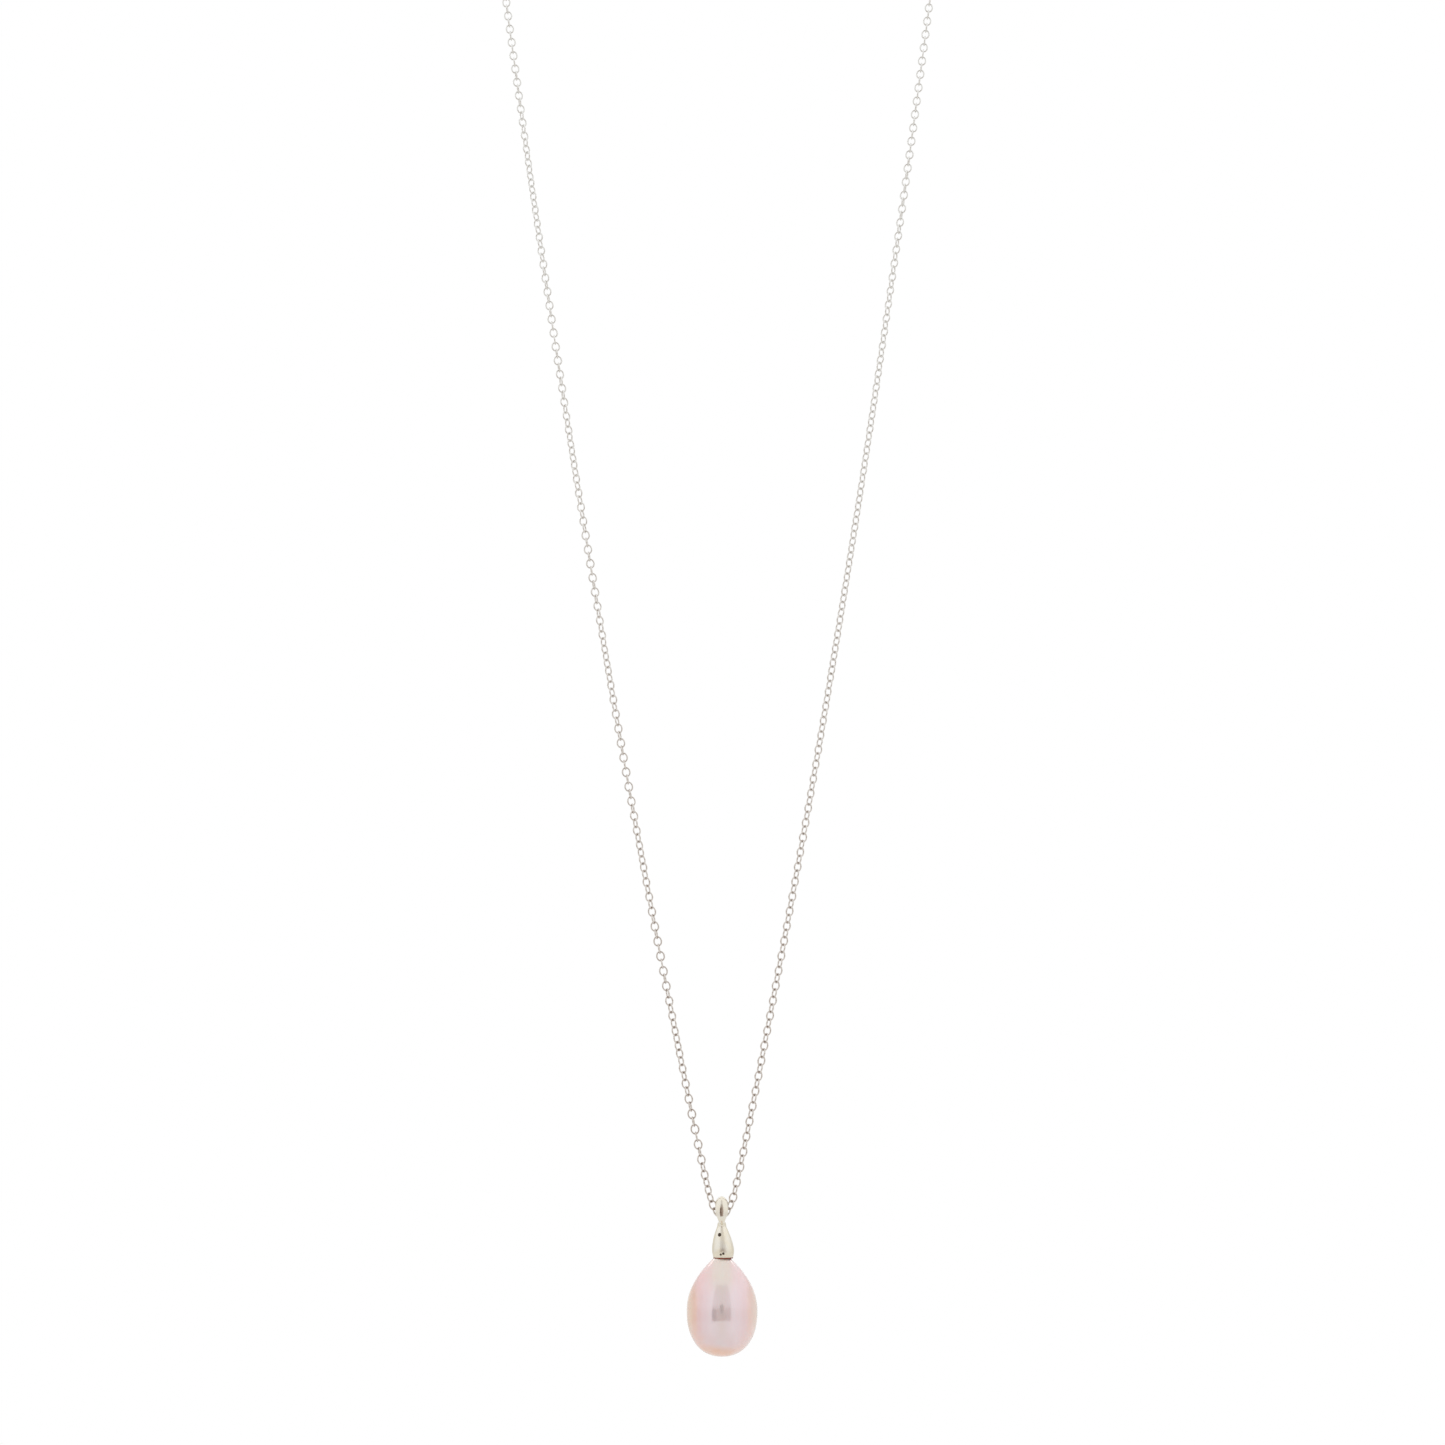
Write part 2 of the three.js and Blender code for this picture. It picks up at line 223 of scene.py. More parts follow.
def onto_surface(field, points, reach):
    """Moves points along the field's slope, by up to reach a step, onto its zero surface."""
    h = 0.002
    for _ in range(3):
        slope = np.stack([
            (field(points + offset) - field(points - offset)) / (2 * h)
            for offset in h * np.eye(3)
        ], axis=1)
        size = np.maximum((slope ** 2).sum(axis=1), 0.05)
        step = field(points) / size
        points = points - np.clip(step, -reach, reach)[:, None] * slope
    return points


def carved(field, low, high, step):
    """The closed surface where a field of signed distances is zero, as even quads.

    Each grid cell that the surface passes through gives a point, and each grid edge that it
    crosses gives a quad. The points are then evened out and put back onto the surface."""
    low, high = np.array(low, float), np.array(high, float)
    counts = np.ceil((high - low) / step).astype(int) + 1
    axes = [low[k] + step * np.arange(counts[k]) for k in range(3)]
    grid = np.stack(np.meshgrid(*axes, indexing="ij"), axis=-1).reshape(-1, 3)
    inside = (field(grid) < 0).reshape(counts)
    corners = np.zeros(counts - 1, int)
    for dx in (0, 1):
        for dy in (0, 1):
            for dz in (0, 1):
                corners += inside[
                    dx:counts[0] - 1 + dx, dy:counts[1] - 1 + dy, dz:counts[2] - 1 + dz]
    mixed = (corners > 0) & (corners < 8)
    number = np.full(mixed.shape, -1)
    number[mixed] = np.arange(mixed.sum())
    points = low + step * (np.argwhere(mixed) + 0.5)
    quads = []
    for axis in range(3):
        ahead = np.roll(inside, -1, axis)
        edges = np.argwhere(inside != ahead)
        u, v = np.eye(3, dtype=int)[(axis + 1) % 3], np.eye(3, dtype=int)[(axis + 2) % 3]
        around = [edges, edges - u, edges - u - v, edges - v]
        quad = np.stack([number[tuple(cell.T)] for cell in around], axis=1)
        outward = inside[tuple(edges.T)]
        quads.append(np.where(outward[:, None], quad, quad[:, ::-1]))
    quads = np.vstack(quads)
    pairs = np.vstack([quads[:, [0, 1]], quads[:, [1, 2]], quads[:, [2, 3]], quads[:, [3, 0]]])
    for _ in range(4):
        total = np.zeros_like(points)
        count = np.zeros(len(points))
        np.add.at(total, pairs[:, 0], points[pairs[:, 1]])
        np.add.at(total, pairs[:, 1], points[pairs[:, 0]])
        np.add.at(count, pairs[:, 0], 1)
        np.add.at(count, pairs[:, 1], 1)
        points = onto_surface(field, total / count[:, None], step)
    return points, quads


def united(a, b, blend):
    """The union of two fields, with a fillet about as wide as blend."""
    share = np.maximum(blend - np.abs(a - b), 0) / blend
    return np.minimum(a, b) - share * share * blend / 4


def cut(a, b, blend):
    """Field a without field b, with the new edge rounded."""
    return -united(-a, b, blend)


# ---- procedural materials ----

class Graph:
    """A node tree, with short calls for the nodes in it."""

    def __init__(self, tree):
        self.tree = tree

    def add(self, kind, **settings):
        node = self.tree.nodes.new(kind)
        for key, value in settings.items():
            setattr(node, key, value)
        return node

    def feed(self, value, socket):
        if isinstance(value, bpy.types.NodeSocket):
            self.tree.links.new(value, socket)
        else:
            socket.default_value = value

    def vector(self, operation, a, b=None, scale=None):
        node = self.add("ShaderNodeVectorMath", operation=operation)
        self.feed(a, node.inputs[0])
        if b is not None:
            self.feed(b, node.inputs[1])
        if scale is not None:
            self.feed(scale, node.inputs["Scale"])
        return node.outputs["Vector"]

    def math(self, operation, a, b=0.0, clamp=False):
        node = self.add("ShaderNodeMath", operation=operation, use_clamp=clamp)
        self.feed(a, node.inputs[0])
        self.feed(b, node.inputs[1])
        return node.outputs[0]

    def split(self, vector):
        node = self.add("ShaderNodeSeparateXYZ")
        self.feed(vector, node.inputs[0])
        return node.outputs

    def band(self, value, low, high, first=0.0, last=1.0):
        """Goes smoothly from first to last as value goes from low to high."""
        node = self.add("ShaderNodeMapRange", interpolation_type="SMOOTHSTEP")
        for index, number in enumerate((value, low, high, first, last)):
            self.feed(number, node.inputs[index])
        return node.outputs[0]

    def mix(self, factor, a, b, blend_type="MIX"):
        node = self.add("ShaderNodeMix", data_type="RGBA", blend_type=blend_type)
        self.feed(factor, node.inputs[0])
        self.feed(a, node.inputs[6])
        self.feed(b, node.inputs[7])
        return node.outputs[2]

    def ramp(self, factor, stops):
        node = self.add("ShaderNodeValToRGB")
        node.color_ramp.interpolation = "EASE"
        elements = node.color_ramp.elements
        while len(elements) < len(stops):
            elements.new(0.5)
        for element, (place, color) in zip(elements, stops):
            element.position = place
            element.color = (*color, 1)
        self.feed(factor, node.inputs[0])
        return node.outputs[0]

    def noise(self, vector, scale, detail=3.0, roughness=0.5, distortion=0.0):
        node = self.add("ShaderNodeTexNoise")
        self.feed(vector, node.inputs["Vector"])
        node.inputs["Scale"].default_value = scale
        node.inputs["Detail"].default_value = detail
        node.inputs["Roughness"].default_value = roughness
        node.inputs["Distortion"].default_value = distortion
        return node.outputs[0]


class Material(Graph):
    """A material's Principled shader and the nodes that feed it, with positions in mm."""

    def __init__(self, name, **values):
        self.material = bpy.data.materials.new(name)
        self.material.use_nodes = True
        super().__init__(self.material.node_tree)
        self.shader = self.tree.nodes["Principled BSDF"]
        for socket, value in values.items():
            self.shader.inputs[socket.replace("_", " ")].default_value = value
        position = self.add("ShaderNodeTexCoord").outputs["Object"]
        self.mm = self.vector("SCALE", position, scale=1000)

    def give(self, name, value):
        self.feed(value, self.shader.inputs[name])

    def attribute(self, name):
        return self.add("ShaderNodeAttribute", attribute_name=name).outputs["Fac"]

    def bump(self, height, millimetres):
        node = self.add("ShaderNodeBump")
        node.inputs["Distance"].default_value = millimetres * MM
        self.feed(height, node.inputs["Height"])
        self.give("Normal", node.outputs[0])


def nacre():
    """Mother-of-pearl: lavender-white to the front and back, partly orient and partly painted
    reflection of the bright tent, pink above, peach round the sides, with a painted lighter right side
    and a peach foot that is partly painted glow.
    """
    g = Material(
        "nacre", Metallic=0.3, IOR=1.6, Coat_Weight=0.6, Coat_Roughness=0.05, Coat_IOR=1.55,
        Subsurface_Weight=0.12, Subsurface_Scale=0.0008, Sheen_Weight=0.08, Sheen_Roughness=0.4)
    g.shader.inputs["Subsurface Radius"].default_value = (1.0, 0.6, 0.5)
    g.shader.inputs["Sheen Tint"].default_value = (1.0, 0.8, 0.8, 1)
    x, y, z = g.split(g.mm)
    drift = g.noise(g.mm, 0.35, 2)
    clouds = g.noise(g.mm, 1.1, 4, 0.55, 0.6)
    across = g.math("DIVIDE", x, PEARL_RADIUS)
    side = g.math("ADD", g.math("ABSOLUTE", across), g.math("MULTIPLY", drift, 0.16))
    # The lavender-white band toward the front and back is partly the pearl's orient and partly a
    # painted reflection of the bright tent
    middle = g.ramp(side, [
        (0.0, (0.84, 0.71, 0.69)), (0.36, (0.89, 0.75, 0.78)), (0.56, (0.88, 0.69, 0.72)),
        (0.72, (0.87, 0.62, 0.62)), (0.86, (0.89, 0.60, 0.50)), (1.0, (0.90, 0.68, 0.55)),
    ])
    upper = g.ramp(side, [
        (0.0, (0.83, 0.76, 0.68)), (0.25, (0.84, 0.73, 0.66)), (0.45, (0.87, 0.66, 0.64)),
        (0.62, (0.88, 0.60, 0.60)), (0.8, (0.88, 0.57, 0.56)), (1.0, (0.88, 0.60, 0.54)),
    ])
    lower = g.ramp(side, [
        (0.0, (0.84, 0.71, 0.72)), (0.45, (0.86, 0.68, 0.69)), (0.7, (0.88, 0.62, 0.57)),
        (1.0, (0.89, 0.61, 0.50)),
    ])
    level = g.math("ADD", z, g.math("MULTIPLY", drift, 1.2))
    climb = g.band(level, SADDLE_Z - 8.3, SADDLE_Z - 5.9)
    fall = g.band(level, SADDLE_Z - 11.6, SADDLE_Z - 13.3)
    foot = g.band(level, SADDLE_Z - 13.3, SADDLE_Z - 14.5)
    color = g.mix(climb, middle, upper)
    color = g.mix(fall, color, lower)
    # The saturated peach at the foot is partly the pearl's colour and partly a painted glow of light
    # coming through from below
    color = g.mix(foot, color, (0.90, 0.58, 0.45, 1))
    # Painted light: the right side is made lighter, as the light falls brighter there
    color = g.mix(g.band(x, 0.7, 1.7, 0.0, 0.28), color, (0.96, 0.84, 0.90, 1))
    veil = g.band(clouds, 0.35, 0.7, 0.0, 0.16)
    color = g.mix(veil, color, (0.86, 0.78, 0.78, 1))
    g.give("Base Color", color)
    g.give("Roughness", g.band(clouds, 0.3, 0.75, 0.09, 0.13))
    terraces = g.noise(g.vector("MULTIPLY", g.mm, (1, 1, 2.6)), 5.0, 2, 0.5, 1.4)
    g.bump(terraces, 0.0016)
    return g.material


def white_gold(name, color, roughness, satin, satin_range):
    """Polished white gold with faint casting clouds, fine wiping marks and near-black painted shade
    where a piece's stored shade marks it.

    It is rougher by satin below the range of heights, and fades to polished above it."""
    g = Material(name, Metallic=1.0, Specular_IOR_Level=0.5)
    clouds = g.noise(g.mm, 0.9, 3)
    grain = g.noise(g.mm, 14, 2)
    marks = g.noise(g.vector("MULTIPLY", g.mm, (9, 9, 0.8)), 3.0, 3, 0.6)
    warm = tuple(c * k for c, k in zip(color, (1.0, 0.965, 0.89)))
    shade = g.mix(g.band(clouds, 0.35, 0.65), (*color, 1), (*warm, 1))
    dull = tuple(c * 0.86 for c in color)
    shade = g.mix(g.band(marks, 0.55, 0.8, 0.0, 0.35), shade, (*dull, 1))
    # Painted shade: near-black where the piece's stored shade attribute marks it, as inside the cup's
    # pits
    shade = g.mix(g.attribute("painted_shade"), shade, (0.12, 0.09, 0.07, 1))
    rough = g.band(grain, 0.3, 0.75, roughness, roughness + 0.07)
    x, y, z = g.split(g.mm)
    g.give("Base Color", shade)
    g.give("Roughness", g.math("ADD", rough, g.band(z, *satin_range, satin, 0.0)))
    g.bump(g.math("ADD", marks, g.math("MULTIPLY", grain, 0.5)), 0.0022)
    return g.material


def chain_metal():
    """Drawn white gold wire, paler at the top and duller toward the pendant as painted light, with
    brown painted shade where the links cross, stronger near the pendant.
    """
    g = Material("chain_white_gold", Metallic=1.0)
    x, y, z = g.split(g.mm)
    grain = g.noise(g.mm, 9, 2)
    spread = g.noise(g.mm, 0.6, 2)
    # Painted light: the wire is paler up the chain and duller toward the pendant, as the light falls
    # brighter above
    shade_toward_pendant = g.band(z, -60, SADDLE_Z)
    # Painted shade: brown where the links cross, stronger toward the pendant and patchy
    crossing_shade = g.math("MULTIPLY", g.attribute("painted_shade"), g.band(z, -110, SADDLE_Z, 0.05, 0.8))
    crossing_shade = g.math("MULTIPLY", crossing_shade, g.band(spread, 0.3, 0.7, 0.7, 1.0), clamp=True)
    bright = g.mix(shade_toward_pendant, (0.86, 0.86, 0.84, 1), (0.74, 0.69, 0.645, 1))
    bright = g.mix(g.band(grain, 0.45, 0.75, 0.0, 0.3), bright, (0.72, 0.68, 0.64, 1))
    g.give("Base Color", g.mix(crossing_shade, bright, (0.26, 0.15, 0.10, 1)))
    drawn = g.band(grain, 0.3, 0.7, 0.15, 0.24)
    g.give("Roughness", g.math("ADD", drawn, g.math("MULTIPLY", crossing_shade, 0.2)))
    g.bump(grain, 0.0012)
    return g.material


def spring_steel():
    """Drawn steel wire with a fine grain."""
    g = Material("spring_steel", Metallic=1.0)
    grain = g.noise(g.mm, 20, 3)
    g.give("Base Color", g.mix(grain, (0.50, 0.51, 0.54, 1), (0.66, 0.66, 0.67, 1)))
    g.give("Roughness", g.band(grain, 0.3, 0.7, 0.25, 0.4))
    g.bump(grain, 0.001)
    return g.material


def cement_with_gap_shadow():
    """Brown cement with a faint mottle and an uneven, half-glossy skin; where it shows at the cup's
    rim, its darkness is partly painted shadow of the gap between cup and pearl.
    """
    g = Material("cement", IOR=1.4, Coat_Weight=0.05, Coat_Roughness=0.3)
    grain = g.noise(g.mm, 5, 3)
    mottle = g.band(grain, 0.35, 0.65)
    g.give("Base Color", g.mix(mottle, (0.20, 0.045, 0.022, 1), (0.32, 0.085, 0.045, 1)))
    g.give("Roughness", g.band(grain, 0.3, 0.7, 0.35, 0.55))
    g.bump(grain, 0.004)
    return g.material


def paper():
    """Matt pale paper with soft fibres."""
    g = Material("floor_paper", IOR=1.4)
    fibres = g.noise(g.mm, 0.5, 4, 0.6)
    g.give("Base Color", g.mix(fibres, (0.86, 0.86, 0.85, 1), (0.90, 0.90, 0.89, 1)))
    g.give("Roughness", g.band(fibres, 0.3, 0.7, 0.75, 0.9))
    g.bump(fibres, 0.03)
    return g.material


chain_gold = chain_metal()
cap_gold = white_gold(
    "cap_white_gold", (0.87, 0.835, 0.75), roughness=0.07,
    satin=0.23, satin_range=(SADDLE_Z - 2.4, SADDLE_Z - 1.0))
clasp_gold = white_gold(
    "clasp_white_gold", (0.86, 0.84, 0.79), roughness=0.1,
    satin=0.03, satin_range=(0, 2))
spring_wire = spring_steel()
cement_and_gap_shadow = cement_with_gap_shadow()
pearl_nacre = nacre()


# ---- chain ----

def smooth_route(corners, steps=60):
    """Points along the centripetal Catmull-Rom curve through the corners."""
    corners = np.array(corners, float)
    first = 2 * corners[0] - corners[1]
    last = 2 * corners[-1] - corners[-2]
    padded = np.vstack([first, corners, last])
    points = []
    for a, b, c, d in zip(padded, padded[1:], padded[2:], padded[3:]):
        before, span, after = (math.sqrt(math.dist(p, q)) for p, q in ((a, b), (b, c), (c, d)))
        leave = ((b - a) / before - (c - a) / (before + span) + (c - b) / span) * span
        arrive = ((c - b) / span - (d - b) / (span + after) + (d - c) / after) * span
        for t in np.arange(steps) / steps:
            points.append(
                b + leave * t + (3 * (c - b) - 2 * leave - arrive) * t ** 2
                + (2 * (b - c) + leave + arrive) * t ** 3)
    points.append(corners[-1])
    return np.array(points)


left_half = [(-x, 0, z) for x, z in HALF_ROUTE[:0:-1]]
right_half = [(x, 0, z) for x, z in HALF_ROUTE]
route = smooth_route(left_half + right_half)
distance = np.concatenate([[0], np.cumsum(np.linalg.norm(np.diff(route, axis=0), axis=1))])
half_length = distance[-1] / 2
pitch = half_length / (LINKS_PER_SIDE + 0.5)


def along_route(place):
    """The route's points at distances from the saddle, + to the right and - to the left."""
    gone = np.asarray(place) + half_length
    return np.stack([np.interp(gone, distance, route[:, k]) for k in range(3)], axis=-1)


LINK_AROUND = 24
LINK_SIDES = 10
SEAM_SWELLING = 0.09


def link_shape():
    """One link lying in its XY plane with its soldered seam, and the painted shade at each point where
    links cross.
    """
    turn = np.repeat(2 * np.pi * np.arange(LINK_AROUND) / LINK_AROUND, LINK_SIDES)
    roll = np.tile(2 * np.pi * np.arange(LINK_SIDES) / LINK_SIDES, LINK_AROUND)
    half_long = LINK_LENGTH / 2 - WIRE_RADIUS
    half_wide = LINK_WIDTH / 2 - WIRE_RADIUS
    out = np.stack([np.cos(turn) / half_long, np.sin(turn) / half_wide], axis=1)
    out /= np.linalg.norm(out, axis=1, keepdims=True)
    from_seam = np.abs((turn - np.pi / 2 + np.pi) % (2 * np.pi) - np.pi)
    radius = WIRE_RADIUS * (1 + SEAM_SWELLING * np.exp(-(from_seam / 0.22) ** 2))
    reach = radius * np.cos(roll)
    points = np.stack([
        half_long * np.cos(turn) + reach * out[:, 0],
        half_wide * np.sin(turn) + reach * out[:, 1],
        radius * np.sin(roll),
    ], axis=1)
    # Painted shade: darkest at the link's ends on the inner side of the wire, where the next links
    # cross it
    near_ends = smoothstep(np.abs(np.cos(turn)), 0.55, 0.95)
    facing_in = smoothstep(-np.cos(roll), -0.6, 0.8)
    return points, near_ends * (0.3 + 0.7 * facing_in)


LINK_FACES = np.array(grid_faces(LINK_AROUND, LINK_SIDES, True, True))


def links(starts, ends, angles):
    """Links from starts to ends, each turned about its length by its angle from facing the front.

    Gives points, faces and the painted shade at each point, where links cross."""
    shape, crossing_shade = link_shape()
    along = ends - starts
    along /= np.linalg.norm(along, axis=1, keepdims=True)
    front = np.array([0.0, -1.0, 0.0])
    across = np.cross(front, along)
    across /= np.linalg.norm(across, axis=1, keepdims=True)
    facing = np.cross(along, across)
    normal = facing * np.cos(angles)[:, None] + across * np.sin(angles)[:, None]
    beside = np.cross(normal, along)
    axes = np.stack([along, beside, normal], axis=1)
    points = ((starts + ends) / 2)[:, None, :] + shape @ axes
    offsets = np.arange(len(starts))[:, None, None] * len(shape)
    faces = (LINK_FACES[None] + offsets).reshape(-1, 4)
    return points.reshape(-1, 3), faces, np.tile(crossing_shade, len(starts))


def with_painted_shade(piece, values):
    """Stores how much painted shade darkens each point, for the metals to read."""
    attribute = piece.data.attributes.new("painted_shade", "FLOAT", "POINT")
    attribute.data.foreach_set("value", values.astype(np.float32))


# How far each strand is twisted, in degrees, at distances in mm from the saddle
TWIST_LEFT = [
    (0, 62), (3.2, 45), (10.1, 90), (20.6, 135), (30.6, 180), (43.1, 225), (52.7, 270), (67.4, 315),
    (78.5, 360), (92.3, 405), (107.5, 450), (127.8, 495), (145, 540), (190, 585), (222, 630),
]
TWIST_RIGHT = [
    (0, -70), (2.6, -26), (48, -30), (65, -42), (97, -47), (117, -62), (132, -84),
    (150, -90), (222, -90),
]


def make_strand(name, side, twist, nodes):
    """Half of the chain, from the first link beside the saddle to the one that holds its ring."""
    starts = along_route(side * pitch * (np.arange(LINKS_PER_SIDE + 1) + 0.5))
    beyond = 2 * starts[-1] - starts[-2]
    ends = np.vstack([starts[1:], beyond])
    order = np.arange(1, LINKS_PER_SIDE + 2)
    stations = np.array(twist, float)
    turns = np.radians(np.interp(order * pitch, stations[:, 0], stations[:, 1]))
    jitter = np.radians(rng.normal(0, LINK_TWIST_JITTER, len(order)))
    quarter_turns = (order + 1) % 2
    angles = turns + quarter_turns * np.pi / 2 + jitter
    points, faces, crossing_shade = links(starts, ends, angles)
    piece = new_piece(name, points, faces, "chain", nodes, chain_gold)
    with_painted_shade(piece, crossing_shade)


def strand_nodes(side):
    """The CAD nodes that this side's strand of links stands in for."""
    bail_links = [f"bail_link_{side}_{i}" for i in range(1, 5)]
    return [f"chain_{side}", *bail_links, f"chain_link_{side}_1", f"chain_link_{side}_2"]


def make_saddle_link():
    """The link that lies across the bail's hole, edge-on to the front."""
    ends = along_route([-pitch / 2, pitch / 2])
    points, faces, crossing_shade = links(ends[:1], ends[1:], np.array([np.pi / 2]))
    piece = new_piece(
        "saddle_link_wire", points, faces, "saddle", ["saddle_link"], chain_gold)
    with_painted_shade(piece, crossing_shade)


make_camera()
make_strand("strand_left", -1, TWIST_LEFT, strand_nodes("left"))
make_strand("strand_right", 1, TWIST_RIGHT, strand_nodes("right"))
make_saddle_link()


# ---- pendant ----

# Points (radius, 0, z) up the cup's outside
cap_line = smooth_route([(r, 0, z) for r, z in CAP_OUTLINE], 30)[::-1]
SEAT_SLOPE = 0.7
EDGE_BLEND = 0.03
PIT_BLEND = 0.04
NECK_BLEND = 0.4


def pearl_surface_z(radius):
    """Height of the pearl's upper surface at this distance from its axis."""
    share = np.clip(1 - radius / PEARL_RADIUS, 0, 1) ** (1 / PEARL_UPPER_POWER)
    return PEARL_WIDEST_Z + PEARL_UPPER_HEIGHT * share


def band_field(points):
    """The band that the chain runs through: a ring round the X axis, widest at its top."""
    x, y, z = points.T
    rise = z - BAIL_HOLE_Z
    reach = np.hypot(y, rise)
    up = rise / np.maximum(reach, 1e-6)
    end = np.where(up > 0, BAIL_OUTER["top"], BAIL_OUTER["bottom"])
    power = np.where(up > 0, BAIL_LOOP_POWER["top"], BAIL_LOOP_POWER["bottom"])
    out = y / np.maximum(reach, 1e-6)
    outer = (np.abs(up / end) ** power + np.abs(out / BAIL_OUTER["side"]) ** power) ** (-1 / power)
    middle = (outer + BAIL_HOLE_RADIUS) / 2
    half_thickness = (outer - BAIL_HOLE_RADIUS) / 2
    top, bottom = BAIL_HALF_WIDTH["top"], BAIL_HALF_WIDTH["bottom"]
    half_width = bottom + (top - bottom) * smoothstep(up, BAIL_TAPER["narrow"], BAIL_TAPER["wide"])
    through = np.sqrt(((reach - middle) / half_thickness) ** 2 + RIDGE_ROUNDING ** 2)
    across = np.sqrt((x / half_width) ** 2 + RIDGE_ROUNDING ** 2)
    section = through ** BAIL_RIDGE_POWER + across ** BAIL_RIDGE_POWER
    return (section ** (1 / BAIL_RIDGE_POWER) - 1) * np.minimum(half_thickness, half_width)


def cup_field(points):
    """The turned cup over the pearl's shoulder, hollow below for cement and peg."""
    x, y, z = points.T
    radius = np.hypot(x, y)
    wall = np.interp(z, cap_line[:, 2], cap_line[:, 0])
    slope = np.interp(z, cap_line[:, 2], np.gradient(cap_line[:, 0], cap_line[:, 2]))
    outside = (radius - wall) / np.sqrt(1 + slope ** 2)
    seat = (pearl_surface_z(radius) + CEMENT_BED - z) * SEAT_SLOPE
    body = cut(outside, -np.maximum(z - CAP_TOP_Z, CAP_OUTLINE[-1][1] - z), EDGE_BLEND)
    body = cut(body, -seat, EDGE_BLEND)
    socket = np.maximum(radius - PEG_RADIUS - FIT_GAP, z - PEG_TOP_Z - FIT_GAP)
    return np.maximum(body, -socket)


def from_pits(points):
    """Distance from each point to the nearest of the cup's little pits, less that pit's radius."""
    return np.min([
        np.linalg.norm(points - centre, axis=1) - radius
        for centre, radius in PITS
    ], axis=0)


def bail_cap_field(points):
    """The band and the cup in one casting, leaning a little at the rim, with its pits."""
    x, y, z = points.T
    upright = np.stack([x - CUP_LEAN * smoothstep(-z, 1.0, 4.4), y, z], axis=1)
    metal = united(band_field(upright), cup_field(upright), NECK_BLEND)
    return cut(metal, from_pits(points), PIT_BLEND)


def at_pendant(points):
    """Moves points from the middle of the saddle link to where that is in the scene."""
    return points + np.array([0, 0, SADDLE_Z])


def make_bail_cap():
    points, faces = carved(bail_cap_field, low=(-1.35, -1.6, -4.85), high=(1.45, 1.6, 2.4), step=0.035)
    piece = new_piece(
        "bail_and_cup", at_pendant(points), faces, "pendant", ["bail_cap"], cap_gold)
    # Painted shade: the inside of each pit is painted near-black, standing in for the dark reflections
    # in the cup there
    with_painted_shade(piece, smoothstep(from_pits(points), 0.03, 0.0))
    sharpen(piece, 50)


def make_pearl():
    """The drop, turned, with the slight unevenness of a grown pearl and its drilled hole."""
    segments = 128
    outline = [(0, PEARL_WIDEST_Z - PEARL_LOWER_HEIGHT)]
    for down in np.sin(np.linspace(np.pi / 2, 0, 41)[1:]):
        radius = (1 - down ** PEARL_LOWER_POWER) ** (1 / PEARL_LOWER_POWER)
        outline.append((PEARL_RADIUS * radius, PEARL_WIDEST_Z - PEARL_LOWER_HEIGHT * down))
    for share in np.linspace(0, 1, 49)[1:]:
        radius = PEARL_RADIUS - (PEARL_RADIUS - DRILL_RADIUS) * share ** 1.6
        outline.append((radius, float(pearl_surface_z(radius))))
    outline += [(DRILL_RADIUS, DRILL_BOTTOM_Z), (0, DRILL_BOTTOM_Z)]
    points, faces = turned(outline, segments)
    x, y, z = points.T
    around = np.arctan2(y, x)
    height = z - PEARL_WIDEST_Z
    swell = 0.5 * np.sin(2 * around + 0.7) + 0.3 * np.sin(3 * around + 2.1 + 0.3 * height)
    swell = swell + 0.35 * np.sin(1.9 * height + 1.3) * np.sin(around + 0.8)
    on_skin = smoothstep(np.hypot(x, y), 1.2, 2.6)
    factor = 1 + SKIN_SWELLING * swell * on_skin
    points = np.stack([x * factor, y * factor, z], axis=1)
    piece = new_piece(
        "pearl_drop", at_pendant(points), faces, "pendant", ["pearl"], pearl_nacre)
    sharpen(piece, 60)


def make_cement():
    """The cement in the drilled hole and under the cup, with a bead swelling out at the rim, dark
    enough there to be partly painted shadow of the gap under the cup.
    """
    inside = PEG_RADIUS + FIT_GAP
    outside = DRILL_RADIUS - FIT_GAP
    rim = CEMENT_EDGE_RADIUS

    def on_pearl(radius):
        return (radius, float(pearl_surface_z(radius)) + FIT_GAP)

    def under_cup(radius):
        return (radius, float(pearl_surface_z(radius)) + CEMENT_BED - FIT_GAP)

    level = float(pearl_surface_z(rim)) + CEMENT_BED / 2
    bulge = CEMENT_BEAD_RADIUS - rim
    half_height = CEMENT_BED / 2 - FIT_GAP
    swelling = [
        (rim + bulge * math.cos(angle), level + half_height * math.sin(angle))
        for angle in np.linspace(-np.pi / 2, np.pi / 2, 9)
    ]
    outline = [(0, DRILL_BOTTOM_Z + FIT_GAP), (outside, DRILL_BOTTOM_Z + FIT_GAP), on_pearl(outside)]
    outline += [on_pearl(r) for r in np.linspace(outside, rim, 9)[1:-1]]
    outline += swelling
    outline += [under_cup(r) for r in np.linspace(rim, inside, 9)[1:]]
    outline += [(inside, PEG_BOTTOM_Z - FIT_GAP), (0, PEG_BOTTOM_Z - FIT_GAP)]
    points, faces = turned(outline, 96)
    points[:, 0] += CUP_LEAN * smoothstep(np.hypot(points[:, 0], points[:, 1]), 0.7, 1.05)
    piece = new_piece(
        "cement_bead", at_pendant(points), faces, "pendant", ["pearl_cement"], cement_and_gap_shadow)
    sharpen(piece, 40)


make_bail_cap()
make_pearl()
make_cement()


# ---- clasp ----

